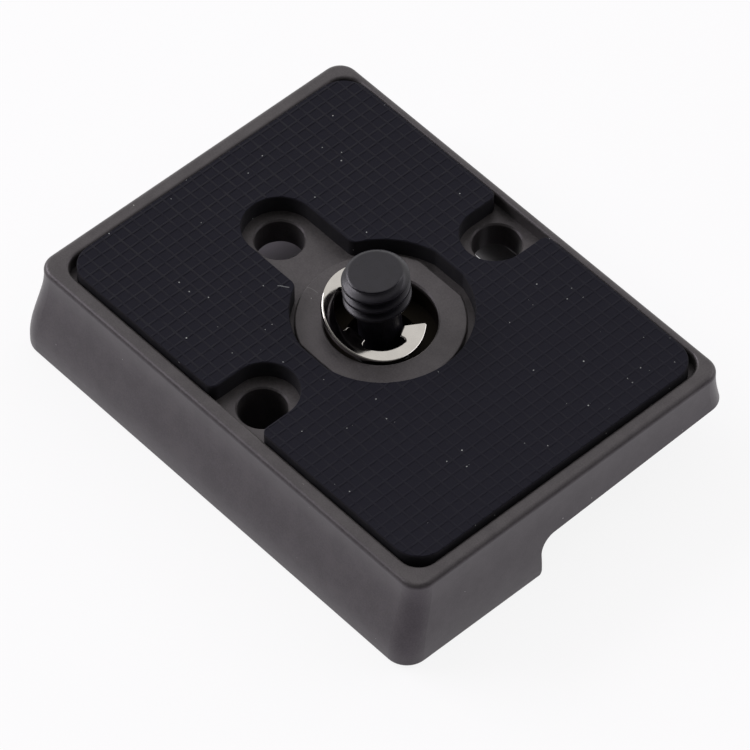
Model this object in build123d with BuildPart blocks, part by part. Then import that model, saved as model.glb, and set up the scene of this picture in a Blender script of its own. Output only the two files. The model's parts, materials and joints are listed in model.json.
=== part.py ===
from build123d import *
import math
import os

# A camera quick release plate: a die-cast body with a rubber grip pad on top, and a captive
# quarter-inch camera screw with a folding ring below, held in by a spring clip above.
# Millimetres. +X runs along the plate, +Y to the far long side, +Z up. The origin lies on the
# surface that the plate stands on, under the middle of its footprint.

# Body: outer walls
base_length = 53.0
base_width = 41.0
plate_height = 9.75
end_flare = 0.6  # how far each wall stands out at the foot, past the rim
near_flare = 1.85
far_flare = 1.15
flare_bottom = 1.0  # heights between which the walls curve outwards
flare_top = 9.1
flare_steps = 8
foot_corner = 2.3
rim_corner = 1.9
rim_edge_round = 0.5
foot_edge_round = 0.4

# Body: pocket for the pad
pocket_depth = 1.5
end_rim = 1.65
near_rim = 1.65
far_rim = 0.9
pocket_corner = 2.0
rim_inner_round = 0.35

# Body: underside
deck_underside = 5.3  # height of the open channel
end_rib_width = 2.5
end_rib_underside = 4.65  # beside the foot
end_rib_slope = 2.2  # degrees, as the ribs climb to the far side
foot_width = 16.7
channel_fillet = 1.8
rail_fillet = 0.8
foot_inner_round = 0.9
rail_width = 2.8
rail_setback = 5.0
ring_swing_clearance = 0.8

# Body: holes, and the boss round the screw
screw_line_offset = 0.75  # from the middle of the footprint to the screw, in +Y
end_hole_reach = 13.9  # from the screw to each hole
side_hole_reach = 14.5
hole_diameter = 4.7
hole_edge_break = 0.15
boss_diameter = 15.9
boss_flats = 14.9
boss_rise = 0.75
boss_edge_round = 0.2
counterbore_diameter = 10.6
counterbore_depth = 2.6
counterbore_edge_break = 0.15
screw_bore_diameter = 6.8

# Grip pad
pad_thickness = 2.0
pad_clearance = 0.25
pad_corner = 2.8
pad_edge_round = 0.2
boss_clearance = 0.55
boss_flat_clearance = 0.85
boss_opening_shift = 0.2  # of the opening round the boss, in +Y
end_slot_width = 7.1
side_slot_width = 6.55
side_slot_end = 3.75  # from a side hole to the inner end of its slot
side_slot_shift = 0.2  # of the far slot in +X, and of the near one in -X
slot_mouth_round = 0.8
slot_junction_round = 1.0

# Captive screw, measured along its own line from the standing surface
screw_top = 15.8
thread_diameter = 6.35
thread_length = 4.2
thread_chamfer_width = 0.85
thread_chamfer_height = 0.6
thread_run_out = 0.7  # at the lower end of the thread
neck_diameter = 4.1
flange_diameter = 12.0
flange_thickness = 1.1
flange_top = 3.7
flange_edge_round = 0.25
hub_bottom = 0.4
hub_diameter = 9.6
hub_width = 8.8
coin_slot_width = 1.6
coin_slot_depth = 1.0
screw_lean = 3.4  # the loose screw leans in its bore
screw_lean_towards = 228.0  # compass angle from +X
screw_lean_height = 7.0  # where the leaning line meets the upright one

# Folding ring
ring_wire = 1.6
ring_pivot_height = 1.5
ring_side_gap = 0.3
ring_leg = 3.5
ring_bend = 1.2
ring_pin_depth = 1.5
pin_end_gap = 0.2
pin_clearance = 0.05

# Retaining clip
clip_diameter = 10.2
clip_thickness = 0.6
clip_recess_diameter = 7.8
clip_inner_diameter = 5.9
clip_lug_width = 2.1
clip_lug_angle = 77.0  # of each end lug, from the middle of the opening
clip_opening_angle = 38.0  # half angle between the opening's sides
clip_opening_point = 2.74  # where those sides would meet, behind the middle
clip_corner_round = 0.25
clip_height = 10.16  # of the middle of its upper face
clip_shift_x = -0.2  # of that middle from the screw's line
clip_shift_y = -0.3
clip_tilt = 21.8  # the loose clip lies aslant
clip_falls_towards = 18.0  # compass angle of its low side
clip_opens_towards = 105.0

# Places worked out from the sizes above
half_length = base_length / 2
near_foot_y = -base_width / 2
far_foot_y = base_width / 2
rim_length = base_length - 2 * end_flare
rim_width = base_width - near_flare - far_flare
rim_middle_y = (near_flare - far_flare) / 2
pocket_floor = plate_height - pocket_depth
pocket_length = rim_length - 2 * end_rim
pocket_width = rim_width - near_rim - far_rim
pocket_middle_y = rim_middle_y + (near_rim - far_rim) / 2
foot_inner_y = near_foot_y + foot_width
rail_inner_y = far_foot_y - rail_width
boss_top = pocket_floor + boss_rise
screw_y = screw_line_offset
hole_places = [
    (-end_hole_reach, screw_y),
    (0, screw_y + side_hole_reach),
    (0, screw_y - side_hole_reach),
]
flange_bottom = flange_top - flange_thickness
thread_bottom = screw_top - thread_length
ring_half_width = hub_width / 2 + ring_side_gap + ring_wire / 2
ring_reach = ring_leg + ring_half_width + ring_wire / 2
ring_room = ring_reach + ring_swing_clearance


def leaning_axis(lean, towards):
    """Unit vector of an upright line that leans by an angle towards a compass angle."""
    across = math.sin(math.radians(lean))
    compass = math.radians(towards)
    return Vector(across * math.cos(compass), across * math.sin(compass), math.cos(math.radians(lean)))


def end_rib_at(y):
    """Height of the end ribs' lower face at a place across the plate."""
    return end_rib_underside + (y - foot_inner_y) * math.tan(math.radians(end_rib_slope))


def screw_line_at(height):
    """Point of the leaning screw line at a height."""
    return Vector(0, screw_y, screw_lean_height) + screw_axis * ((height - screw_lean_height) / screw_axis.Z)


screw_axis = leaning_axis(screw_lean, screw_lean_towards)
screw_plane = Plane(origin=screw_line_at(0), x_dir=(1, 0, 0), z_dir=screw_axis)
ring_plane = screw_plane.offset(ring_pivot_height)
pivot_plane = Plane(origin=ring_plane.origin, x_dir=ring_plane.y_dir, z_dir=ring_plane.x_dir)
clip_axis = leaning_axis(clip_tilt, clip_falls_towards)
clip_middle = screw_line_at(clip_height) + Vector(clip_shift_x, clip_shift_y, 0)
opening = Vector(1, 0, 0).rotate(Axis.Z, clip_opens_towards)
clip_plane = Plane(origin=clip_middle, x_dir=opening - clip_axis * opening.dot(clip_axis), z_dir=clip_axis)

# Plate body: foot, flare and rim, then hollowed above and below
with BuildPart() as plate_body:
    with BuildSketch(Plane.XY):
        RectangleRounded(base_length, base_width, foot_corner)
    extrude(amount=flare_bottom)
    with BuildSketch(Plane.XY.offset(flare_top)):
        with Locations((0, rim_middle_y)):
            RectangleRounded(rim_length, rim_width, rim_corner)
    extrude(amount=plate_height - flare_top)
    fillet(plate_body.faces().sort_by(Axis.Z)[-1].edges(), rim_edge_round)
    fillet(plate_body.faces().sort_by(Axis.Z)[0].edges(), foot_edge_round)
    for step in range(flare_steps + 1):
        rise = step / flare_steps
        drawn_in = (1 - math.cos(math.pi * rise)) / 2
        with BuildSketch(Plane.XY.offset(flare_bottom + rise * (flare_top - flare_bottom))):
            with Locations((0, drawn_in * rim_middle_y)):
                RectangleRounded(
                    base_length + drawn_in * (rim_length - base_length),
                    base_width + drawn_in * (rim_width - base_width),
                    foot_corner + drawn_in * (rim_corner - foot_corner),
                )
    loft()

    # Open channel along the underside, between the foot and the far rail, and deeper between the end ribs
    for near_height, far_height, reach in (
        (end_rib_underside, end_rib_at(rail_inner_y), base_length),
        (deck_underside, deck_underside, half_length - end_rib_width),
    ):
        with BuildSketch(Plane.YZ):
            with BuildLine():
                FilletPolyline(
                    (foot_inner_y, foot_inner_round),
                    (foot_inner_y, near_height),
                    (rail_inner_y, far_height),
                    (rail_inner_y, 0),
                    radius=(channel_fillet, rail_fillet),
                )
                mouth_edge_y = foot_inner_y - foot_inner_round
                TangentArc((foot_inner_y, foot_inner_round), (mouth_edge_y, 0), tangent=(0, -1))
                Line((mouth_edge_y, 0), (rail_inner_y, 0))
            make_face()
        extrude(amount=reach, both=True, mode=Mode.SUBTRACT)

    # The rail stops short of both ends
    for end in (half_length, -half_length):
        with BuildSketch(Plane.YZ.offset(end)):
            with BuildLine():
                cut_y = rail_inner_y - 2 * rail_fillet
                clear_y = far_foot_y + rail_width
                Polyline(
                    (cut_y, 0),
                    (cut_y, end_rib_at(cut_y)),
                    (clear_y, end_rib_at(clear_y)),
                    (clear_y, 0),
                    close=True,
                )
            make_face()
        extrude(amount=rail_setback, both=True, mode=Mode.SUBTRACT)

    # Round room in the foot for the ring to turn in
    with BuildSketch(Plane.XY):
        with Locations((0, screw_y)):
            Circle(ring_room)
    extrude(amount=deck_underside, mode=Mode.SUBTRACT)

    # Pocket for the pad
    with BuildSketch(Plane.XY.offset(pocket_floor)):
        with Locations((0, pocket_middle_y)):
            RectangleRounded(pocket_length, pocket_width, pocket_corner)
    extrude(amount=pocket_depth, mode=Mode.SUBTRACT)
    fillet(plate_body.faces().sort_by(Axis.Z)[-1].inner_wires()[0].edges(), rim_inner_round)

    # Boss round the screw, with two flats
    with BuildSketch(Plane.XY.offset(pocket_floor)):
        with Locations((0, screw_y)):
            Circle(boss_diameter / 2)
            Rectangle(boss_diameter, boss_flats, mode=Mode.INTERSECT)
    extrude(amount=boss_rise)
    fillet(plate_body.faces().filter_by_position(Axis.Z, boss_top, boss_top).edges(), boss_edge_round)

    # Counterbore for the clip, and the bore that the screw passes through
    with Locations((0, screw_y, boss_top)):
        CounterBoreHole(screw_bore_diameter / 2, counterbore_diameter / 2, counterbore_depth)
    counterbore_rim = plate_body.faces().filter_by_position(Axis.Z, boss_top, boss_top)[0].inner_wires()[0]
    chamfer(counterbore_rim.edges(), counterbore_edge_break)

    # Plain holes through the deck, the foot and the edge of the rail
    with Locations(*[(x, y, pocket_floor) for x, y in hole_places]):
        CounterSinkHole(hole_diameter / 2, hole_diameter / 2 + hole_edge_break, counter_sink_angle=90)

plate_body.part.label = "plate_body"

# Grip pad: a rubber sheet in the pocket, cut out round the boss and the holes
with BuildSketch(Plane.XY.offset(pocket_floor)) as keyhole:
    with Locations((0, screw_y + boss_opening_shift)):
        Circle(boss_diameter / 2 + boss_clearance)
        Rectangle(2 * boss_diameter, boss_flats + 2 * boss_flat_clearance, mode=Mode.INTERSECT)
    with Locations((-end_hole_reach / 2, screw_y)):
        SlotCenterToCenter(end_hole_reach, end_slot_width)
    slot_end_corners = keyhole.vertices().sort_by(Axis.X)[:2]
    fillet(keyhole.vertices() - slot_end_corners, slot_junction_round)

with BuildPart() as grip_pad:
    with BuildSketch(Plane.XY.offset(pocket_floor)) as pad_outline:
        with Locations((0, pocket_middle_y)):
            RectangleRounded(pocket_length - 2 * pad_clearance, pocket_width - 2 * pad_clearance, pad_corner)
        add(keyhole.sketch, mode=Mode.SUBTRACT)
        slot_length = side_hole_reach + side_slot_end
        for side in (1, -1):
            slot_y = screw_y + side * (side_hole_reach - side_slot_end + slot_length / 2)
            with Locations((side * side_slot_shift, slot_y)):
                SlotOverall(slot_length, side_slot_width, rotation=90, mode=Mode.SUBTRACT)
        mouth_corners = pad_outline.vertices().filter_by(
            lambda corner: abs(abs(corner.X) - side_slot_width / 2) < pad_clearance
            and abs(abs(corner.Y - pocket_middle_y) - pocket_width / 2 + pad_clearance) < pad_clearance
        )
        fillet(mouth_corners, slot_mouth_round)
    extrude(amount=pad_thickness)
    fillet(grip_pad.faces().sort_by(Axis.Z)[-1].edges(), pad_edge_round)

grip_pad.part.label = "grip_pad"

# Camera screw: hub with pivot holes and a coin slot, flange, neck, and the plain form of the thread
with BuildPart() as camera_screw:
    with BuildSketch(screw_plane.offset(hub_bottom)):
        Circle(hub_diameter / 2)
        Rectangle(hub_width, hub_diameter, mode=Mode.INTERSECT)
    extrude(amount=flange_bottom - hub_bottom)
    with BuildSketch(screw_plane.offset(flange_bottom)):
        Circle(flange_diameter / 2)
    extrude(amount=flange_thickness)
    flange_rims = camera_screw.edges().filter_by(GeomType.CIRCLE).filter_by(
        lambda edge: abs(edge.radius - flange_diameter / 2) < flange_edge_round
    )
    fillet(flange_rims, flange_edge_round)
    with BuildSketch(screw_plane.offset(flange_top)):
        Circle(neck_diameter / 2)
    extrude(amount=thread_bottom - flange_top)
    with BuildSketch(screw_plane.offset(thread_bottom)):
        Circle(thread_diameter / 2)
    extrude(amount=thread_length)
    end_face = camera_screw.faces().sort_by(Axis.Z)[-1]
    chamfer(end_face.edges(), thread_chamfer_height, thread_chamfer_width)
    thread_rims = camera_screw.edges().filter_by(GeomType.CIRCLE).filter_by(
        lambda edge: abs(edge.radius - thread_diameter / 2) < thread_run_out / 10
    )
    chamfer(thread_rims.sort_by(Axis.Z)[0], thread_run_out)
    with BuildSketch(screw_plane.offset(hub_bottom)):
        Rectangle(coin_slot_width, 2 * hub_diameter)
    extrude(amount=coin_slot_depth, mode=Mode.SUBTRACT)
    pivot_hole_depth = ring_pin_depth + pin_end_gap
    for side in (1, -1):
        with BuildSketch(pivot_plane.offset(side * hub_width / 2)):
            Circle(ring_wire / 2 + pin_clearance)
        extrude(amount=-side * pivot_hole_depth, mode=Mode.SUBTRACT)

camera_screw.part.label = "camera_screw"

# Folding ring: one bent wire, its two ends turned in as pivot pins
with BuildPart() as d_ring:
    with BuildLine(ring_plane) as ring_path:
        pin_end = hub_width / 2 - ring_pin_depth
        FilletPolyline((pin_end, 0), (ring_half_width, 0), (ring_half_width, ring_leg), radius=ring_bend)
        ThreePointArc(
            (ring_half_width, ring_leg), (0, ring_leg + ring_half_width), (-ring_half_width, ring_leg)
        )
        FilletPolyline((-ring_half_width, ring_leg), (-ring_half_width, 0), (-pin_end, 0), radius=ring_bend)
    with BuildSketch(pivot_plane.offset(pin_end)):
        Circle(ring_wire / 2)
    sweep(path=ring_path.line)

d_ring.part.label = "d_ring"

# Retaining clip: a punched E shape, its opening along the plane's own X
with BuildPart() as retaining_clip:
    with BuildSketch(clip_plane):
        Circle(clip_diameter / 2)
        Circle(clip_recess_diameter / 2, mode=Mode.SUBTRACT)
        lug_length = (clip_diameter - clip_inner_diameter) / 2
        lug_middle = (clip_diameter + clip_inner_diameter) / 4
        for angle in (clip_lug_angle, 180, -clip_lug_angle):
            with PolarLocations(lug_middle, 1, angle):
                Rectangle(lug_length, clip_lug_width)
        Circle(clip_diameter / 2, mode=Mode.INTERSECT)
        Circle(clip_inner_diameter / 2, mode=Mode.SUBTRACT)
        with BuildLine():
            mouth = clip_diameter + clip_opening_point
            spread = mouth * math.tan(math.radians(clip_opening_angle))
            Polyline(
                (-clip_opening_point, 0),
                (clip_diameter, spread),
                (clip_diameter, -spread),
                close=True,
            )
        make_face(mode=Mode.SUBTRACT)
        # Every corner is rounded: in, out past the outline, and back
        for step in (-clip_corner_round, 2 * clip_corner_round, -clip_corner_round):
            offset(amount=step)
    extrude(amount=-clip_thickness)

retaining_clip.part.label = "retaining_clip"

os.makedirs("parts", exist_ok=True)
for piece in (plate_body, grip_pad, camera_screw, d_ring, retaining_clip):
    export_step(piece.part, f"parts/{piece.part.label}.step")
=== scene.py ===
"""Looks of a camera quick release plate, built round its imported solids."""

import json
import math

import bmesh
import bpy
import numpy as np
from mathutils import Matrix, Vector


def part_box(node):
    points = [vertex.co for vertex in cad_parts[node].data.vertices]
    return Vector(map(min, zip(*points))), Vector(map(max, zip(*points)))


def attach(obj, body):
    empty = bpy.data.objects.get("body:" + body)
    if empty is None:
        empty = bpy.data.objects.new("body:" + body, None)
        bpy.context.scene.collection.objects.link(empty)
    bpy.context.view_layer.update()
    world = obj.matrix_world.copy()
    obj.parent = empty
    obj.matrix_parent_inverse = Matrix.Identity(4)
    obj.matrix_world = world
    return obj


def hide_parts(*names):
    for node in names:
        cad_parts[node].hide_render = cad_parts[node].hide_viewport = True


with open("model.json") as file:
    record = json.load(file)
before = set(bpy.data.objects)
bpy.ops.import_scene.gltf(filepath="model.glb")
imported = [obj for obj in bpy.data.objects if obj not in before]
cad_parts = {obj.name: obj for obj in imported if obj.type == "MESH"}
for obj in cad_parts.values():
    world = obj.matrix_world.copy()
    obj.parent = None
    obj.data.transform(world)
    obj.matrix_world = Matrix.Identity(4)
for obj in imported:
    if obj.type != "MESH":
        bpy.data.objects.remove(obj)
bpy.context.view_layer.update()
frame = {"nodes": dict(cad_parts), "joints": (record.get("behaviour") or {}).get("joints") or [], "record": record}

bl_info = {
    "name": "Quick release plate",
    "version": (1, 0, 0),
    "blender": (4, 5, 0),
    "location": "View3D > Sidebar > Plate",
    "description": "Gives the plate its cast body, ridged pad, threaded screw, spring clip, ring and stage",
    "category": "Object",
}

MM = 0.001
JOINTS = {joint["name"]: joint for joint in frame["joints"]}
MOUNTS = {mount["name"]: mount for mount in frame["record"]["mounts"]}
SCREW_AXIS = np.array(JOINTS["screw_turn"]["axis"], float)
SCREW_POINT = np.array(JOINTS["screw_turn"]["pos_m"], float)
RING_AXIS = np.array(JOINTS["ring_fold"]["axis"], float)
PAD_LOW, PAD_HIGH = (np.array(corner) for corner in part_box("grip_pad"))
BOSS_Y = MOUNTS["side_holes"]["pos_m"][1]

# The ridges' tops lie this far below the flat top of the pad's solid
RIDGE_SINK = 0.004 * MM

# Degrees between two faces up to which they are shaded as one
PAD_CREASE, SCREW_CREASE, CLIP_CREASE = 18, 38, 35

# Spans of a noise's values: most of them, those in the middle, and those nearest to it
MOST, MIDDLE, NEAREST = (0.3, 0.7), (0.35, 0.65), (0.40, 0.60)

# Half a side of the floor, its depth under the plate, and half the soft edge of the shaded part
FLOOR_HALF, FLOOR_DROP, SHADE_EDGE = 1.5, 0.01 * MM, 0.5 * MM

# Where the sky turns from dim to bright: parts of a direction that point away from the camera
SKY_DIM, SKY_BRIGHT = -0.25, 0.38

# Directions of the two lamps from the plate, their distance, and their width and height
LEFT_LAMP, RIGHT_LAMP = (-0.747, -0.336, 0.574), (0.336, 0.747, 0.574)
LAMP_DISTANCE, LAMP_SIZE = 0.7, (0.5, 0.22)

# Width of the camera's sensor in millimetres, and of the photo in pixels
SENSOR_WIDTH, PHOTO_WIDTH = 36, 750


def length(name, default_mm, description):
    """A length that a user may change, given here in millimetres and kept in metres."""
    return bpy.props.FloatProperty(
        name=name, description=description, default=default_mm * MM, unit="LENGTH", precision=6
    )


def number(name, default, description):
    """A plain number."""
    return bpy.props.FloatProperty(name=name, description=description, default=default)


def share(name, default, description):
    """A value from 0 to 1."""
    return bpy.props.FloatProperty(
        name=name, description=description, default=default, min=0.0, max=1.0, subtype="FACTOR"
    )


def angle(name, default_degrees, description):
    """An angle, given here in degrees and kept in radians."""
    return bpy.props.FloatProperty(
        name=name, description=description, default=math.radians(default_degrees), subtype="ANGLE"
    )


def colour(name, default, description):
    """A linear colour."""
    return bpy.props.FloatVectorProperty(
        name=name, description=description, default=default, size=3, min=0.0, max=1.0, subtype="COLOR"
    )


class CastSettings(bpy.types.PropertyGroup):
    """Finish of the die-cast body."""

    coat: colour("Coat", (0.065, 0.0588, 0.0622), "Dark grey coat of the casting")
    coat_dark: colour("Coat, dark", (0.041, 0.0368, 0.0392), "Where the coat is darker")
    sheen: colour("Sheen", (0.97, 0.86, 1.0), "Faint tint of what the coat mirrors")
    # Painted shade: the counterbore round the screw is coloured near-black for the shade in that recess; its
    # radius and top bound that painted shade.
    counterbore_shade: colour("Counterbore", (0.012, 0.010, 0.008), "Bare blackened metal inside the counterbore")
    counterbore_shade_radius: length("Counterbore radius", 5.35, "Reach of that dark round the screw")
    counterbore_shade_top: length("Counterbore top", 8.75, "Height up to which it is dark")
    dust: colour("Dust", (0.42, 0.41, 0.41), "Specks and lint on the coat")
    roughness: share("Roughness", 0.38, "Satin finish of the coat")
    # Roughness inside the counterbore, where its shade is painted near-black.
    counterbore_shade_roughness: share("Roughness, bare", 0.6, "Finish of the bare metal")
    grain: length("Grain", 0.16, "Size of the fine grain of the casting")


class PadSettings(bpy.types.PropertyGroup):
    """Form and finish of the rubber pad."""

    pitch_x: length("Pitch along", 1.166, "Distance between ridges along the plate")
    pitch_y: length("Pitch across", 1.21, "Distance between ridges across the plate")
    first_x: length("First ridge along", -0.24, "Place of one ridge along the plate")
    first_y: length("First ridge across", -0.26, "Place of one ridge across the plate")
    crest: length("Crest width", 0.13, "Width of a ridge at its top")
    flank: length("Flank width", 0.06, "Width of each sloping side of a ridge")
    height: length("Ridge height", 0.05, "How far the ridges stand above the squares at the hole's end")
    height_far: length("Ridge height, far end", 0.034, "How far they stand above them at the other end")
    lowest: share("Lowest ridge", 0.72, "Height of the lowest parts of the ridges, against the full height")
    sway: length("Sway", 0.025, "How far the ridges wander sideways")
    rubber: colour("Rubber", (0.0100, 0.0090, 0.0168), "Blue-black rubber between the ridges")
    # Ridge tops are lighter partly from rubbing and partly as a painted highlight where the ridges catch more
    # light.
    rub_and_highlight: colour("Ridge tops", (0.0212, 0.0198, 0.0268), "Rubber along the ridges, rubbed lighter")
    # That lightening of the ridges, rub and painted highlight together, is fullest at one end of the pad and fades
    # towards the other.
    lightening_full: length("Rub, full", -20, "Place along the plate up to which the ridges are rubbed most")
    lightening_faded: length("Rub, faded", 16, "Place along the plate from which they are rubbed least")
    lightening_least: share("Least rub", 0.3, "How much they are rubbed there")
    # Upright faces of the pad are painted lighter: partly dust, partly painted light on them.
    dust_and_light_on_edges: colour("Cut edges", (0.030, 0.028, 0.033), "Dust on the upright edges")
    dust: colour("Dust", (0.40, 0.40, 0.42), "Specks and lint on the rubber")
    roughness: share("Roughness", 0.62, "Matt finish of the rubber")
    seed: bpy.props.IntProperty(name="Seed", description="Of the uneven ridges", default=7)


class ScrewSettings(bpy.types.PropertyGroup):
    """Form and finish of the captive screw, measured along its line from the standing surface."""

    flange_top: length("Flange top", 3.7, "Height of the flange's upper face")
    neck: length("Neck diameter", 4.1, "Undercut between the flange and the thread")
    thread_bottom: length("Thread bottom", 11.6, "Where the thread begins")
    top: length("Top", 15.79, "End face of the screw")
    thread: length("Thread diameter", 6.35, "Outer diameter of the thread")
    pitch: length("Thread pitch", 1.27, "Rise of the thread in one turn")
    depth: length("Thread depth", 0.72, "From the crest to the root of the thread")
    run_out: length("Run-out", 0.7, "Taper at the lower end of the thread")
    lead_in: length("Lead-in width", 0.78, "Width of the rounded taper at the upper end")
    lead_in_height: length("Lead-in height", 0.6, "Height of that taper")
    start: angle("Thread start", 200, "Turn of the thread about the screw's line")
    black: colour("Black oxide", (0.0078, 0.0070, 0.0106), "Blackened steel")
    sheen: colour("Sheen", (0.94, 0.89, 1.0), "Faint tint of what the steel mirrors")
    roughness: share("Roughness", 0.33, "Satin finish of the black steel")


class ClipSettings(bpy.types.PropertyGroup):
    """Finish of the spring clip and of the wire ring."""

    edge: length("Clip edge", 0.16, "Small round along the clip's punched edges")
    nickel: colour("Nickel", (0.565, 0.525, 0.525), "Bright plate of the clip")
    clip_roughness: share("Clip roughness", 0.09, "Polish of the clip")
    wire: colour("Wire", (0.62, 0.61, 0.59), "Plated steel of the ring")
    wire_roughness: share("Wire roughness", 0.26, "Polish of the ring")


class StageSettings(bpy.types.PropertyGroup):
    """Floor, light and camera."""

    floor: colour("Floor", (0.93, 0.85, 0.99), "Plain pale floor")
    shaded: colour("Floor, shaded", (0.345, 0.315, 0.37), "Floor under the plate")
    shadow: share("Shadow", 0.12, "How much of the floor's own shading the camera sees")
    shade_x: length("Shade, along", 22.5, "Half length of the shaded floor under the plate")
    shade_y: length("Shade, across", 17.3, "Half width of the shaded floor under the plate")
    backdrop: share("Backdrop", 1.0, "Strength of the light from beyond the plate")
    warmth: colour("Warmth", (0.98, 1.0, 0.93), "Colour of the sky's light")
    room: share("Room", 0.13, "Strength of the light from the camera's side")
    left_lamp: number("Left lamp", 2.5, "Watts of the lamp on the left")
    right_lamp: number("Right lamp", 0.65, "Watts of the lamp on the right")
    azimuth: angle("Azimuth", 47.892, "Compass angle of the camera")
    elevation: angle("Elevation", 50.603, "Angle of the camera above the floor")
    roll: angle("Roll", -0.304, "Turn of the camera about its own line")
    distance: length("Distance", 608.7, "From the camera to the plate")
    lens_pixels: number("Lens", 6627.9, "Focal length in pixels of a frame as wide as the photo")
    aim_y: length("Aim, across", 0.30, "Point that the camera looks past, across the plate")
    aim_z: length("Aim, up", 5.0, "Point that the camera looks past, above the floor")
    slide_right: length("Slide right", -0.2204, "Sideways move of the camera")
    slide_up: length("Slide up", -2.292, "Upward move of the camera")


SETTINGS = {
    "plate_cast": CastSettings,
    "plate_pad": PadSettings,
    "plate_screw": ScrewSettings,
    "plate_clip": ClipSettings,
    "plate_stage": StageSettings,
}


def quads_of_grid(rows, columns, round_about=False):
    """Corner numbers of the squares between neighbouring rows and columns of a grid of points."""
    r = np.arange(rows - 1)[:, None]
    c = np.arange(columns if round_about else columns - 1)[None, :]
    after = (c + 1) % columns
    first = r * columns + c
    second = r * columns + after
    return np.stack([first, second, second + columns, first + columns], -1).reshape(-1, 4)


def new_mesh(name, points, quads):
    """Mesh with these points and four-cornered faces, its double points merged."""
    mesh = bpy.data.meshes.new(name)
    mesh.vertices.add(len(points))
    mesh.vertices.foreach_set("co", np.ascontiguousarray(points, np.float32).ravel())
    mesh.loops.add(4 * len(quads))
    mesh.loops.foreach_set("vertex_index", np.ascontiguousarray(quads, np.int32).ravel())
    mesh.polygons.add(len(quads))
    mesh.polygons.foreach_set("loop_start", np.arange(0, 4 * len(quads), 4, dtype=np.int32))
    mesh.update(calc_edges=True)
    merge_points(mesh)
    return mesh


def merge_points(mesh, nearer_than=1e-7):
    """Merges points that lie on each other, as along seams and at poles."""
    work = bmesh.new()
    work.from_mesh(mesh)
    bmesh.ops.remove_doubles(work, verts=work.verts, dist=nearer_than)
    bmesh.ops.dissolve_degenerate(work, edges=work.edges, dist=nearer_than)
    work.to_mesh(mesh)
    work.free()


def merged_copy(node, name):
    """Copy of a solid's mesh with its loose triangles joined."""
    mesh = frame["nodes"][node].data.copy()
    mesh.name = name
    if "custom_normal" in mesh.attributes:
        mesh.attributes.remove(mesh.attributes["custom_normal"])
    merge_points(mesh, nearer_than=2e-6)
    return mesh


def join_flats(mesh, degrees=0.5):
    """Joins the triangles of each flat face, where they meet at less than this angle."""
    work = bmesh.new()
    work.from_mesh(mesh)
    bmesh.ops.dissolve_limit(work, angle_limit=math.radians(degrees), verts=work.verts, edges=work.edges)
    work.to_mesh(mesh)
    work.free()


def soften(mesh, degrees):
    """Smooth shading, with a crease where faces meet at more than this angle."""
    mesh.shade_smooth()
    mesh.set_sharp_from_angle(angle=math.radians(degrees))


def add_piece(name, mesh, body, material, replaced):
    """Puts a finished mesh into the scene as a piece that rides on a body in place of some solids."""
    piece = bpy.data.objects.new(name, mesh)
    bpy.context.scene.collection.objects.link(piece)
    mesh.materials.clear()
    mesh.materials.append(material)
    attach(piece, body)
    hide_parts(*replaced)
    return piece


def dress_node(node, material):
    """Gives a solid of the frame its material."""
    mesh = frame["nodes"][node].data
    mesh.materials.clear()
    mesh.materials.append(material)


class Nodes:
    """A node tree under construction."""

    def __init__(self, tree):
        self.tree = tree

    def put(self, slot, value):
        """Fills a socket by a link from an output or by a value; a colour is given without its alpha."""
        if isinstance(value, bpy.types.NodeSocket):
            self.tree.links.new(value, slot)
        elif slot.type == "RGBA":
            slot.default_value = (*value, 1.0)
        else:
            slot.default_value = value

    def node(self, kind, settings=None, **inputs):
        """Adds a node; its inputs go by name, with _ for a space, or by number, the first as i0."""
        made = self.tree.nodes.new(kind)
        for key, value in (settings or {}).items():
            setattr(made, key, value)
        for key, value in inputs.items():
            numbered = key[0] == "i" and key[1:].isdigit()
            self.put(made.inputs[int(key[1:]) if numbered else key.replace("_", " ")], value)
        return made

    def math(self, operation, *values):
        """Result of an operation on numbers or outputs."""
        inputs = {f"i{n}": value for n, value in enumerate(values)}
        return self.node("ShaderNodeMath", {"operation": operation}, **inputs).outputs[0]

    def between(self, value, low, high, new_low=0.0, new_high=1.0, curve="LINEAR"):
        """Maps a value from one range to another, held at the ends."""
        return self.node(
            "ShaderNodeMapRange", {"interpolation_type": curve},
            Value=value, From_Min=low, From_Max=high, To_Min=new_low, To_Max=new_high,
        ).outputs["Result"]

    def mix(self, factor, first, second):
        """Blends two colours, which are inputs 6 and 7 and output 2 of the node."""
        return self.node("ShaderNodeMix", {"data_type": "RGBA"}, i0=factor, i6=first, i7=second).outputs[2]

    def parts(self, vector):
        """The X, Y and Z of a vector."""
        return self.node("ShaderNodeSeparateXYZ", i0=vector).outputs


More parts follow.
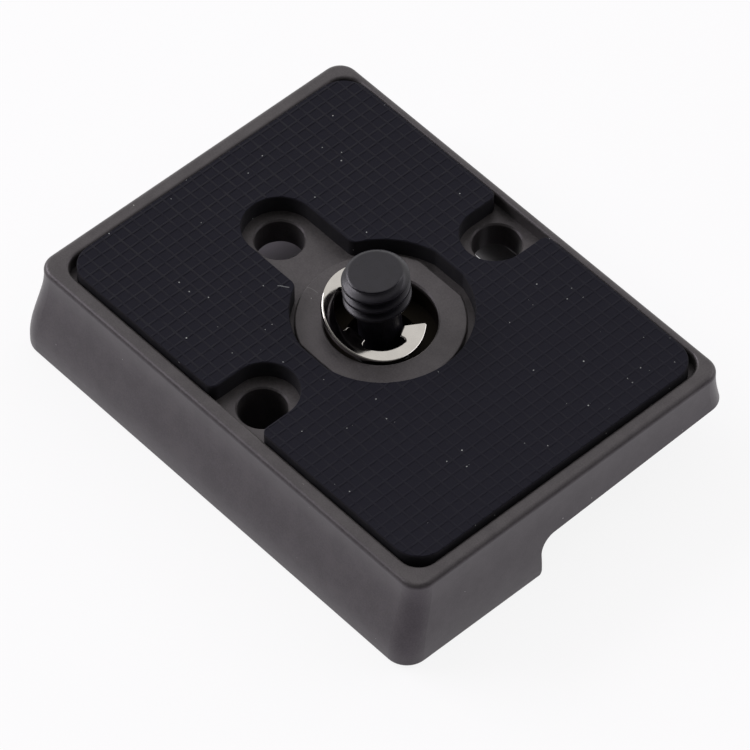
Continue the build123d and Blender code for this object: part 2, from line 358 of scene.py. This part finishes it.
class Finish(Nodes):
    """A material under construction, read in Object coordinates."""

    def __init__(self, name):
        self.material = bpy.data.materials.new(name)
        self.material.use_nodes = True
        super().__init__(self.material.node_tree)
        self.shader = self.tree.nodes["Principled BSDF"]
        self.place = self.node("ShaderNodeTexCoord").outputs["Object"]

    def set(self, **inputs):
        """Fills sockets of the shader, by value or by link."""
        for key, value in inputs.items():
            self.put(self.shader.inputs[key.replace("_", " ")], value)
        return self

    def noise(self, size, detail=3.0, roughness=0.55):
        """Noise whose features have this size in metres."""
        return self.node(
            "ShaderNodeTexNoise", Vector=self.place, Scale=1.0 / size, Detail=detail, Roughness=roughness
        ).outputs["Fac"]

    def uneven(self, noise, roughness, less, more):
        """Roughness that wavers with a noise, down by one amount and up by another."""
        return self.between(noise, *MOST, roughness - less, roughness + more)

    def bump(self, height, distance, strength):
        """Bump from a height of 0 to 1, which stands for this distance in metres."""
        made = self.node("ShaderNodeBump", Height=height, Distance=distance, Strength=strength)
        return made.outputs["Normal"]

    def fibre(self, x, y, turn, length, bow=0.0):
        """Mask of a thin fibre at a place in the plan, bowed as a parabola; millimetres and degrees."""
        half_width, faded_out = 0.02, 0.05
        local = self.node(
            "ShaderNodeMapping", {"vector_type": "TEXTURE"}, Vector=self.place,
            Location=(x * MM, y * MM, 0), Rotation=(0, 0, math.radians(turn)), Scale=(MM, MM, MM),
        )
        parts = self.parts(local.outputs[0])
        run = self.math("DIVIDE", parts["X"], length / 2)
        bowed = self.math("MULTIPLY", self.math("MULTIPLY", run, run), bow)
        aside = self.math("ABSOLUTE", self.math("SUBTRACT", parts["Y"], bowed))
        thin = self.between(aside, half_width, faded_out, 1.0, 0.0)
        return self.math("MULTIPLY", thin, self.math("LESS_THAN", self.math("ABSOLUTE", run), 1.0))

    def specks(self, spacing, radius, kept):
        """Mask of small round specks of dust: near the point of each cell, in a share of the cells."""
        smallest = 0.25 * radius
        cells = self.node("ShaderNodeTexVoronoi", Vector=self.place, Scale=1.0 / spacing, Randomness=1.0)
        chance = self.node("ShaderNodeSeparateColor", Color=cells.outputs["Color"])
        size = self.between(chance.outputs[1], 0.0, 1.0, smallest / spacing, radius / spacing)
        inside = self.math("LESS_THAN", cells.outputs["Distance"], size)
        chosen = self.math("LESS_THAN", chance.outputs[0], kept)
        return self.math("MULTIPLY", inside, chosen)


def cast_coat(s):
    """Dark satin coat with soft clouds, fine grain and a little dust.

    Inside the counterbore round the screw the shade is painted: the coat turns near-black and metallic there.
    """
    f = Finish("cast_coat")
    clouds = f.noise(size=2.4 * MM, detail=5.0, roughness=0.65)
    grain = f.noise(size=s.grain, detail=2.0, roughness=0.6)
    shade = f.math("ADD", f.math("MULTIPLY", clouds, 0.5), f.math("MULTIPLY", grain, 0.5))
    coat = f.mix(f.between(shade, *NEAREST), s.coat_dark, s.coat)
    fade_aside, fade_up, just_above = 0.1 * MM, 0.5 * MM, 0.1 * MM
    from_screw = f.node("ShaderNodeMapping", Vector=f.place, Location=(0.0, -BOSS_Y, 0.0), Scale=(1, 1, 0))
    reach = f.node("ShaderNodeVectorMath", {"operation": "LENGTH"}, i0=from_screw.outputs[0]).outputs["Value"]
    height = f.parts(f.place)["Z"]
    # Painted shade: within the counterbore the coat turns near-black and metallic, standing in for the shade in
    # that recess.
    inside = f.math(
        "MULTIPLY",
        f.between(reach, s.counterbore_shade_radius, s.counterbore_shade_radius + fade_aside, 1.0, 0.0),
        f.between(height, s.counterbore_shade_top - fade_up, s.counterbore_shade_top, 1.0, 0.0),
    )
    shade_painted_coat = f.mix(inside, coat, s.counterbore_shade)
    on_boss = f.math("GREATER_THAN", height, s.counterbore_shade_top + just_above)
    clear_lint = f.fibre(x=-7.75, y=-1.6, turn=20, length=0.34)
    faint_lint = f.math("MULTIPLY", f.fibre(x=-7.0, y=-1.45, turn=14, length=1.5, bow=-0.12), 0.15)
    lint = f.math("MULTIPLY", on_boss, f.math("MAXIMUM", clear_lint, faint_lint))
    white = f.math("MAXIMUM", f.specks(spacing=0.9 * MM, radius=0.07 * MM, kept=0.12), lint)
    coat_roughness = f.uneven(grain, s.roughness, less=0.06, more=0.08)
    return f.set(
        Base_Color=f.mix(white, shade_painted_coat, s.dust),
        Roughness=f.math("MAXIMUM", coat_roughness, f.math("MULTIPLY", inside, s.counterbore_shade_roughness)),
        Metallic=inside,
        Normal=f.bump(grain, distance=0.012 * MM, strength=0.6),
        Specular_IOR_Level=0.5,
        Specular_Tint=s.sheen,
    ).material


def pad_rubber(s):
    """Blue-black rubber with fine grain and white dust.

    It is lighter where the attribute ridge is high, partly rubbed and partly a painted highlight, less so towards
    the far end; upright faces are lighter, partly dust and partly painted light.
    """
    f = Finish("pad_rubber")
    ridge = f.node("ShaderNodeAttribute", {"attribute_name": "ridge"}).outputs["Fac"]
    patches = f.noise(size=1.3 * MM, detail=4.0, roughness=0.65)
    grain = f.noise(size=0.11 * MM, detail=2.0, roughness=0.6)
    patchy = f.between(patches, *MIDDLE, 0.1, 1.0)
    # Ridge tops are painted lighter, partly rub and partly a painted highlight, fading along the plate.
    fading = f.between(f.parts(f.place)["X"], s.lightening_full, s.lightening_faded, 1.0, s.lightening_least)
    lightened = f.math("MULTIPLY", ridge, f.math("MULTIPLY", patchy, fading))
    rubber = f.mix(lightened, s.rubber, s.rub_and_highlight)
    # Upright faces are painted lighter in patches: partly dust, partly painted light on them.
    facing_up = f.parts(f.node("ShaderNodeNewGeometry").outputs["Normal"])["Z"]
    upright = f.between(facing_up, 0.35, 0.75, 1.0, 0.0)
    dust_and_light = f.math("MULTIPLY", upright, f.between(patches, *MOST, 0.6, 1.0))
    edged = f.mix(dust_and_light, rubber, s.dust_and_light_on_edges)
    lint = f.math("MULTIPLY", f.fibre(x=-8.2, y=-3.85, turn=37, length=1.1), 0.55)
    white = f.math("MAXIMUM", f.specks(spacing=0.8 * MM, radius=0.075 * MM, kept=0.26), lint)
    return f.set(
        Base_Color=f.mix(white, edged, s.dust),
        Roughness=f.uneven(grain, s.roughness, less=0.08, more=0.10),
        Normal=f.bump(grain, distance=0.015 * MM, strength=0.4),
        Specular_IOR_Level=0.09,
    ).material


def black_steel(s):
    """Black oxide on turned steel: even black with faint mottling and fine relief."""
    f = Finish("black_steel")
    mottle = f.noise(size=0.9 * MM, detail=4.0)
    grain = f.noise(size=0.09 * MM, detail=2.0)
    lighter = [1.5 * part for part in s.black]
    return f.set(
        Base_Color=f.mix(f.between(mottle, *MIDDLE), s.black, lighter),
        Roughness=f.uneven(grain, s.roughness, less=0.06, more=0.08),
        Normal=f.bump(grain, distance=0.008 * MM, strength=0.3),
        Specular_IOR_Level=0.4,
        Specular_Tint=s.sheen,
    ).material


def bright_metal(name, tint, roughness, scratch):
    """Bright plate: clear metal with faint cloudy gloss and hair-fine relief."""
    f = Finish(name)
    clouds = f.noise(size=1.4 * MM)
    hair = f.noise(size=scratch, detail=2.0)
    darker = [0.93 * part for part in tint]
    return f.set(
        Base_Color=f.mix(f.between(clouds, *MIDDLE), darker, tint),
        Metallic=1.0,
        Roughness=f.uneven(clouds, roughness, less=0.05, more=0.05),
        Normal=f.bump(hair, distance=0.004 * MM, strength=0.15),
    ).material


class PLATE_OT_cast_body(bpy.types.Operator):
    """Coats the die-cast body"""

    bl_idname = "plate.cast_body"
    bl_label = "Cast body"

    def execute(self, context):
        dress_node("plate_body", cast_coat(context.scene.plate_cast))
        return {"FINISHED"}


def ridge_breaks(first, pitch, low, high, crest, flank):
    """Places across a row of ridges, four to a ridge.

    Given are the places, whether each is on a crest, the number of its ridge, and the count of ridges.
    """
    first_number = math.ceil((low - first) / pitch)
    last_number = math.floor((high - first) / pitch)
    centres = first + pitch * np.arange(first_number, last_number + 1)
    steps = np.array([-crest / 2 - flank, -crest / 2, crest / 2, crest / 2 + flank])
    places = (centres[:, None] + steps).ravel()
    on_crest = np.tile([0.0, 1.0, 1.0, 0.0], len(centres))
    ridge = np.repeat(np.arange(len(centres)), len(steps))
    return places, on_crest, ridge, len(centres)


def ridge_height(s, x):
    """Height of the ridges at places along the plate, falling evenly from one end of the pad to the other."""
    return np.interp(x, [PAD_LOW[0], PAD_HIGH[0]], [s.height, s.height_far])


def ridged_sheet(s):
    """Thick sheet whose upper face is ridged both ways.

    Its height over a place is that of the higher of two rows of ridges, one along and one across,
    each a trapezium with a slightly uneven height. The ridges sway a little from side to side, as a sine
    that starts elsewhere on each. A flat lower face and four edges close the sheet.
    """
    beyond, below_pad = 2 * MM, 1 * MM
    wave_x, wave_y = 2.3 * MM, 2.9 * MM
    shift_x, shift_y = 1.7, 2.1
    rng = np.random.default_rng(s.seed)
    x, on_x, line_x, count_x = ridge_breaks(
        s.first_x, s.pitch_x, PAD_LOW[0] - beyond, PAD_HIGH[0] + beyond, s.crest, s.flank)
    y, on_y, line_y, count_y = ridge_breaks(
        s.first_y, s.pitch_y, PAD_LOW[1] - beyond, PAD_HIGH[1] + beyond, s.crest, s.flank)
    uneven_x = rng.uniform(s.lowest, 1.0, (count_x, len(y)))[line_x]
    uneven_y = rng.uniform(s.lowest, 1.0, (len(x), count_y))[:, line_y]
    rise = np.maximum(on_x[:, None] * uneven_x, on_y[None, :] * uneven_y)
    gx = x[:, None] + s.sway * np.sin(y[None, :] / wave_x + shift_x * line_x[:, None])
    gy = y[None, :] + s.sway * np.sin(x[:, None] / wave_y + shift_y * line_y[None, :])
    top = np.stack([gx, gy, PAD_HIGH[2] - RIDGE_SINK - ridge_height(s, gx) * (1 - rise)], -1)
    bottom = top.copy()
    bottom[..., 2] = PAD_LOW[2] - below_pad
    rows, columns = rise.shape
    place = np.arange(rows * columns).reshape(rows, columns)
    ring = np.concatenate([place[:-1, 0], place[-1, :-1], place[:0:-1, -1], place[0, :0:-1]])
    after = np.roll(ring, -1)
    below = rows * columns
    upper = quads_of_grid(rows, columns)[:, ::-1]
    lower = quads_of_grid(rows, columns) + below
    edges = np.stack([ring, ring + below, after + below, after], -1)
    points = np.concatenate([top.reshape(-1, 3), bottom.reshape(-1, 3)])
    return new_mesh("ridged_sheet", points, np.concatenate([upper, lower, edges]))


def common_part(first, second, name):
    """Mesh of the space that two closed meshes share."""
    a = bpy.data.objects.new("first", first)
    b = bpy.data.objects.new("second", second)
    for made in (a, b):
        bpy.context.scene.collection.objects.link(made)
    cut = a.modifiers.new("common", "BOOLEAN")
    cut.operation = "INTERSECT"
    cut.solver = "EXACT"
    cut.object = b
    bpy.context.view_layer.update()
    shaped = a.evaluated_get(bpy.context.evaluated_depsgraph_get())
    mesh = bpy.data.meshes.new_from_object(shaped)
    mesh.name = name
    for made in (a, b):
        bpy.data.objects.remove(made)
    if not len(mesh.polygons):
        raise RuntimeError(f"{name}: the two meshes share no space")
    return mesh


class PLATE_OT_grip_pad(bpy.types.Operator):
    """Makes the rubber pad with its square grid of fine ridges"""

    bl_idname = "plate.grip_pad"
    bl_label = "Grip pad"

    def execute(self, context):
        s = context.scene.plate_pad
        mesh = common_part(merged_copy("grip_pad", "pad_form"), ridged_sheet(s), "grip_pad_ridged")
        soften(mesh, PAD_CREASE)
        points = np.empty(3 * len(mesh.vertices), np.float32)
        mesh.vertices.foreach_get("co", points)
        x, _, z = points.reshape(-1, 3).T
        ridge = np.clip(1 - (PAD_HIGH[2] - RIDGE_SINK - z) / ridge_height(s, x), 0, 1)
        mesh.attributes.new("ridge", "FLOAT", "POINT").data.foreach_set("value", ridge.astype(np.float32))
        add_piece("grip_pad_ridged", mesh, "plate", pad_rubber(s), ["grip_pad"])
        return {"FINISHED"}


def along_screw(s, radius, turn, height):
    """Points round the leaning screw line, from a radius, a turn and a height along the line."""
    across = -RING_AXIS
    aside = np.cross(SCREW_AXIS, across)
    foot = SCREW_POINT - SCREW_AXIS * s.flange_top
    return (
        foot
        + SCREW_AXIS * height[..., None]
        + across * (radius * np.cos(turn))[..., None]
        + aside * (radius * np.sin(turn))[..., None]
    )


def threaded_shank(s):
    """Neck, thread and end face of the screw as one turned surface.

    A profile of radius over height is carried round the screw line. Along the thread the radius falls
    from the profile by a rounded wave of the phase height over pitch less turn over a full turn, which
    winds a right-handed groove. A ring without radius closes each end.
    """
    thread_rings, neck_rings, around = 190, 8, 144
    sunk, neck_step, hair = 0.1 * MM, 0.3 * MM, 0.01 * MM
    crest, groove_side = 0.07, 0.36  # Half the crest and a side of the groove, as shares of the pitch
    straight = 0.6  # Share of the lead-in that is a plain taper, the rest being round
    end_face = np.array([0.97, 0.5, 0.0])  # Rings of the end face, as shares of its radius
    r, neck = s.thread / 2, s.neck / 2
    lower = s.flange_top - sunk
    heights = np.concatenate([
        [lower, lower, s.flange_top, s.flange_top + neck_step],
        np.linspace(s.flange_top + 2 * neck_step, s.thread_bottom - 2 * hair, neck_rings),
        np.linspace(s.thread_bottom, s.top, thread_rings),
        np.full(len(end_face), s.top),
    ])
    outer = np.interp(
        heights,
        [s.thread_bottom - hair, s.thread_bottom, s.thread_bottom + s.run_out],
        [neck, r - s.run_out, r],
    )
    up = np.clip((heights - s.top + s.lead_in_height) / s.lead_in_height, 0, 1)
    outer -= s.lead_in * (straight * up + (1 - straight) * (1 - np.sqrt(1 - up * up)))
    outer[0] = 0.0
    rim = len(heights) - len(end_face) - 1
    outer[rim + 1:] = outer[rim] * end_face
    turns = np.linspace(0, 2 * np.pi, around, endpoint=False)
    phase = (heights[:, None] / s.pitch - (turns[None, :] - s.start) / (2 * np.pi)) % 1.0
    wave = np.clip((np.abs(phase - 0.5) - crest) / groove_side, 0, 1)
    wave = wave * wave * (3 - 2 * wave)
    threaded = np.minimum(outer[:, None], r - s.depth * wave)
    on_thread = (heights >= s.thread_bottom) & (np.arange(len(heights)) < rim)
    radius = np.where(on_thread[:, None], threaded, outer[:, None])
    radius[rim] = np.minimum(outer[rim], threaded[rim - 1])
    shape = radius.shape
    points = along_screw(s, radius, np.broadcast_to(turns, shape), np.broadcast_to(heights[:, None], shape))
    return new_mesh("threaded_shank", points.reshape(-1, 3), quads_of_grid(*shape, round_about=True))


def screw_head():
    """Flange and hub: the solid's own mesh below the neck, closed where the neck was."""
    above_flange = 0.05 * MM
    mesh = merged_copy("camera_screw", "screw_head")
    work = bmesh.new()
    work.from_mesh(mesh)
    bmesh.ops.bisect_plane(
        work,
        geom=[*work.verts, *work.edges, *work.faces],
        plane_co=SCREW_POINT + SCREW_AXIS * above_flange,
        plane_no=SCREW_AXIS,
        clear_outer=True,
    )
    bmesh.ops.holes_fill(work, edges=[edge for edge in work.edges if edge.is_boundary])
    work.to_mesh(mesh)
    work.free()
    return mesh


def joined(name, *meshes):
    """One mesh from several."""
    work = bmesh.new()
    for mesh in meshes:
        work.from_mesh(mesh)
    made = bpy.data.meshes.new(name)
    work.to_mesh(made)
    work.free()
    return made


class PLATE_OT_camera_screw(bpy.types.Operator):
    """Makes the captive screw with its thread"""

    bl_idname = "plate.camera_screw"
    bl_label = "Camera screw"

    def execute(self, context):
        s = context.scene.plate_screw
        mesh = joined("camera_screw_threaded", threaded_shank(s), screw_head())
        soften(mesh, SCREW_CREASE)
        add_piece("camera_screw_threaded", mesh, "screw", black_steel(s), ["camera_screw"])
        return {"FINISHED"}


class PLATE_OT_retaining_clip(bpy.types.Operator):
    """Makes the bright spring clip with softened punched edges"""

    bl_idname = "plate.retaining_clip"
    bl_label = "Retaining clip"

    def execute(self, context):
        s = context.scene.plate_clip
        mesh = merged_copy("retaining_clip", "retaining_clip_bright")
        join_flats(mesh)
        soften(mesh, CLIP_CREASE)
        nickel = bright_metal("bright_nickel", s.nickel, s.clip_roughness, scratch=0.08 * MM)
        piece = add_piece("retaining_clip_bright", mesh, "clip", nickel, ["retaining_clip"])
        bevel = piece.modifiers.new("punched edge", "BEVEL")
        bevel.width = s.edge
        bevel.segments = 3
        bevel.limit_method = "ANGLE"
        bevel.angle_limit = math.radians(50)
        bevel.harden_normals = True
        return {"FINISHED"}


class PLATE_OT_wire_ring(bpy.types.Operator):
    """Plates the folding wire ring"""

    bl_idname = "plate.wire_ring"
    bl_label = "Wire ring"

    def execute(self, context):
        s = context.scene.plate_clip
        dress_node("d_ring", bright_metal("bright_wire", s.wire, s.wire_roughness, scratch=0.12 * MM))
        return {"FINISHED"}


def looked_at(n):
    """Output that is 1 for what is seen, straight, mirrored or through glass, and 0 for light that falls."""
    path = n.node("ShaderNodeLightPath").outputs
    straight_or_mirrored = n.math("MAXIMUM", path["Is Camera Ray"], path["Is Glossy Ray"])
    return n.math("MAXIMUM", straight_or_mirrored, path["Is Transmission Ray"])


def outside(n, s):
    """Output that is 0 on the floor under the plate and 1 round about it."""
    parts = n.parts(n.node("ShaderNodeTexCoord").outputs["Object"])
    past = [
        n.between(n.math("ABSOLUTE", parts[axis]), reach - SHADE_EDGE, reach + SHADE_EDGE)
        for axis, reach in (("X", s.shade_x), ("Y", s.shade_y))
    ]
    return n.math("MAXIMUM", *past)


def floor_white(s):
    """White where it is looked at, with a part of its own shading for the shadow, and clear from below."""
    material = bpy.data.materials.new("floor")
    material.use_nodes = True
    material.node_tree.nodes.clear()
    n = Nodes(material.node_tree)
    open_floor = outside(n, s)
    plain = n.node("ShaderNodeBsdfDiffuse", Color=n.mix(open_floor, s.shaded, s.floor))
    white = n.node("ShaderNodeEmission")
    seen = n.math("MULTIPLY", looked_at(n), open_floor)
    whiteness = n.math("MULTIPLY", seen, 1 - s.shadow)
    above = n.node("ShaderNodeMixShader", i0=whiteness, i1=plain.outputs[0], i2=white.outputs[0])
    below = n.node("ShaderNodeBsdfTransparent")
    from_below = n.node("ShaderNodeNewGeometry").outputs["Backfacing"]
    either = n.node("ShaderNodeMixShader", i0=from_below, i1=above.outputs[0], i2=below.outputs[0])
    n.node("ShaderNodeOutputMaterial", Surface=either.outputs[0])
    return material


def lay_floor(s):
    """A wide flat floor just under the plate."""
    side = np.linspace(-FLOOR_HALF, FLOOR_HALF, 3)
    gx, gy = np.meshgrid(side, side, indexing="ij")
    points = np.stack([gx, gy, np.full_like(gx, -FLOOR_DROP)], -1).reshape(-1, 3)
    mesh = new_mesh("floor", points, quads_of_grid(*gx.shape)[:, ::-1])
    mesh.materials.append(floor_white(s))
    floor = bpy.data.objects.new("floor", mesh)
    bpy.context.scene.collection.objects.link(floor)


def light_sky(scene, s):
    """Light of one colour from all round, full from beyond the plate and dim from the camera's side."""
    scene.world = bpy.data.worlds.new("sky")
    scene.world.use_nodes = True
    n = Nodes(scene.world.node_tree)
    away = n.node(
        "ShaderNodeVectorMath", {"operation": "DOT_PRODUCT"},
        i0=n.node("ShaderNodeTexCoord").outputs["Generated"],
        i1=(-math.sin(s.azimuth), math.cos(s.azimuth), 0),
    ).outputs["Value"]
    background = n.tree.nodes["Background"].inputs
    n.put(background["Color"], s.warmth)
    n.put(background["Strength"], n.between(away, SKY_DIM, SKY_BRIGHT, s.room, s.backdrop, "SMOOTHSTEP"))


def add_softbox(name, towards, watts):
    """A soft light off in a direction from the plate and facing it."""
    data = bpy.data.lights.new(name, "AREA")
    data.shape = "RECTANGLE"
    data.size, data.size_y = LAMP_SIZE
    data.energy = watts
    lamp = bpy.data.objects.new(name, data)
    lamp.location = Vector(towards) * LAMP_DISTANCE
    lamp.rotation_euler = (-Vector(towards)).to_track_quat("-Z", "Y").to_euler()
    bpy.context.scene.collection.objects.link(lamp)


def place_camera(s):
    """Camera on a line from the plate at the given compass angle and height, rolled and slid a little."""
    a, e, r = s.azimuth, s.elevation, s.roll
    back = Vector((math.sin(a) * math.cos(e), -math.cos(a) * math.cos(e), math.sin(e)))
    level = Vector((math.cos(a), math.sin(a), 0))
    upward = back.cross(level)
    right = math.cos(r) * level + math.sin(r) * upward
    up = -math.sin(r) * level + math.cos(r) * upward
    place = Vector((0, s.aim_y, s.aim_z)) + back * s.distance + right * s.slide_right + up * s.slide_up
    data = bpy.data.cameras.new("camera")
    data.sensor_width = SENSOR_WIDTH
    data.lens = s.lens_pixels * SENSOR_WIDTH / PHOTO_WIDTH
    data.clip_start = 0.01
    data.clip_end = 20
    camera = bpy.data.objects.new("camera", data)
    turn = Matrix((right, up, back)).transposed().to_4x4()
    camera.matrix_world = Matrix.Translation(place) @ turn
    bpy.context.scene.collection.objects.link(camera)
    return camera


class PLATE_OT_stage(bpy.types.Operator):
    """Lays the floor and sets the light and the camera"""

    bl_idname = "plate.stage"
    bl_label = "Stage"

    def execute(self, context):
        s = context.scene.plate_stage
        scene = context.scene
        scene.view_settings.view_transform = "Standard"
        lay_floor(s)
        light_sky(scene, s)
        add_softbox("softbox_left", LEFT_LAMP, s.left_lamp)
        add_softbox("softbox_right", RIGHT_LAMP, s.right_lamp)
        scene.camera = place_camera(s)
        return {"FINISHED"}


OPERATORS = (
    PLATE_OT_cast_body,
    PLATE_OT_grip_pad,
    PLATE_OT_camera_screw,
    PLATE_OT_retaining_clip,
    PLATE_OT_wire_ring,
    PLATE_OT_stage,
)


class PLATE_PT_pieces(bpy.types.Panel):
    """Lists the pieces of the plate and the stage"""

    bl_idname = "PLATE_PT_pieces"
    bl_label = "Quick release plate"
    bl_space_type = "VIEW_3D"
    bl_region_type = "UI"
    bl_category = "Plate"

    def draw(self, context):
        for operator in OPERATORS:
            self.layout.operator(operator.bl_idname)


CLASSES = (*SETTINGS.values(), *OPERATORS, PLATE_PT_pieces)


def register():
    for made in CLASSES:
        bpy.utils.register_class(made)
    for name, group in SETTINGS.items():
        setattr(bpy.types.Scene, name, bpy.props.PointerProperty(type=group))


def unregister():
    for name in SETTINGS:
        delattr(bpy.types.Scene, name)
    for made in reversed(CLASSES):
        bpy.utils.unregister_class(made)


def main():
    register()
    bpy.ops.plate.cast_body()
    bpy.ops.plate.grip_pad()
    bpy.ops.plate.camera_screw()
    bpy.ops.plate.retaining_clip()
    bpy.ops.plate.wire_ring()
    bpy.ops.plate.stage()


if __name__ == "__main__":
    main()
